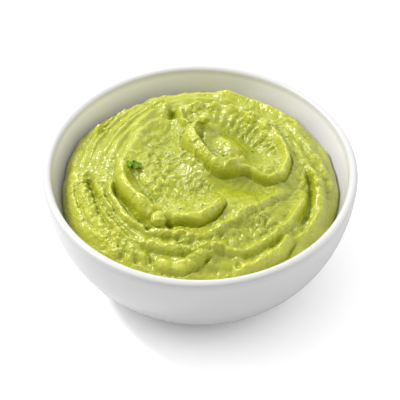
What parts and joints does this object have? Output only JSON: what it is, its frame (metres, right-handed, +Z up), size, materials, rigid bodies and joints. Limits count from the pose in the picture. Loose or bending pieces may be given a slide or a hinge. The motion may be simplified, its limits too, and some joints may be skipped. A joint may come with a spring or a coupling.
{
  "type": "bowl of guacamole",
  "caption": "Round white porcelain bowl on a foot ring, heaped with swirled green guacamole.",
  "frame": {"origin": "centre of the foot ring's flat underside, at the height that the bowl stands on", "axes": "+Z up along the bowl's axis; +X to the right and +Y to the back as seen from the dip's front"},
  "size_m": [0.13, 0.13, 0.063],
  "materials": {
    "porcelain": "white gloss glaze",
    "avocado_dip": "moist, glossy and lumpy"
  },
  "bodies": {
    "root": {"bowl": "porcelain", "guacamole": "avocado_dip"}
  },
  "joints": []
}
